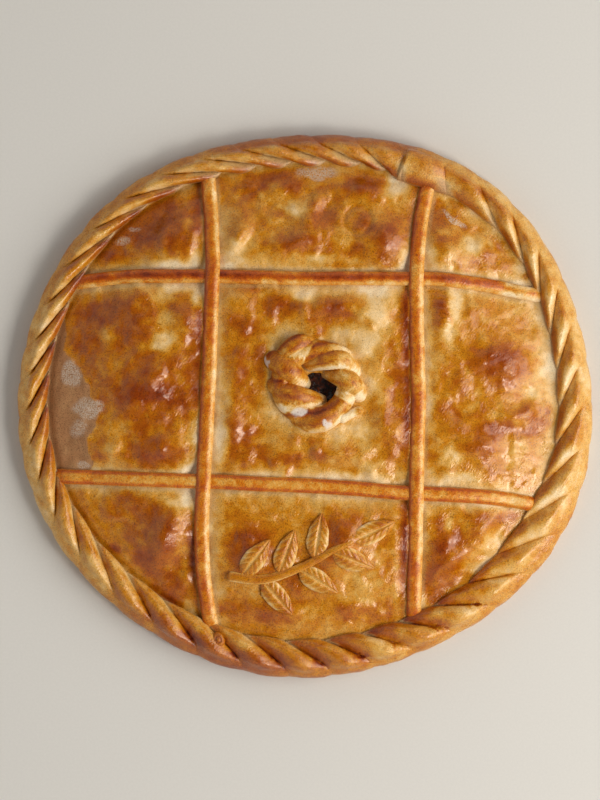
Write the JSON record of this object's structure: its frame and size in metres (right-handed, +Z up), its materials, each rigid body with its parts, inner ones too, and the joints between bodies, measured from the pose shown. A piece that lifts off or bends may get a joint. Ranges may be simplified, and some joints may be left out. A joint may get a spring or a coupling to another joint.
{
  "type": "galician empanada",
  "caption": "Whole round savoury pie with a rope-twisted rim, crossed strips of dough on a blistered egg-washed lid, a twisted ring round the steam vent and a sprig of dough leaves.",
  "frame": {"origin": "on the surface the pie rests on, under the middle of the pie's bounding box", "axes": "+Z up through the pie, +Y away from the diner towards the back of the pie as the picture shows it, +X to the right along the pie's longer diameter"},
  "size_m": [0.3399, 0.3214, 0.0376],
  "materials": {
    "rim_crust": "baked bread dough, egg-washed, golden orange with pale creases",
    "lid_crust": "baked bread dough, egg-washed, blistered, orange-brown with pale and floury patches",
    "stew_filling": "dark moist onion and meat filling, seen only down the steam vent",
    "strip_dough": "rolled strip of baked dough, brown on its crest and pale on its flanks",
    "ring_dough": "twisted baked dough, orange-brown on top and cream on its under sides",
    "sprig_dough": "cut dough leaves and stem, egg-washed and baked"
  },
  "bodies": {
    "root": {"bottom_crust": "rim_crust", "rope_end": "rim_crust", "lid": "lid_crust", "filling": "stew_filling", "strip_left": "strip_dough", "strip_right": "strip_dough", "strip_back": "strip_dough", "strip_front": "strip_dough", "vent_ring": "ring_dough", "sprig_stem": "sprig_dough", "sprig_leaf_1": "sprig_dough", "sprig_leaf_2": "sprig_dough", "sprig_leaf_3": "sprig_dough", "sprig_leaf_4": "sprig_dough", "sprig_leaf_5": "sprig_dough", "sprig_leaf_6": "sprig_dough", "sprig_leaf_7": "sprig_dough"}
  },
  "joints": []
}
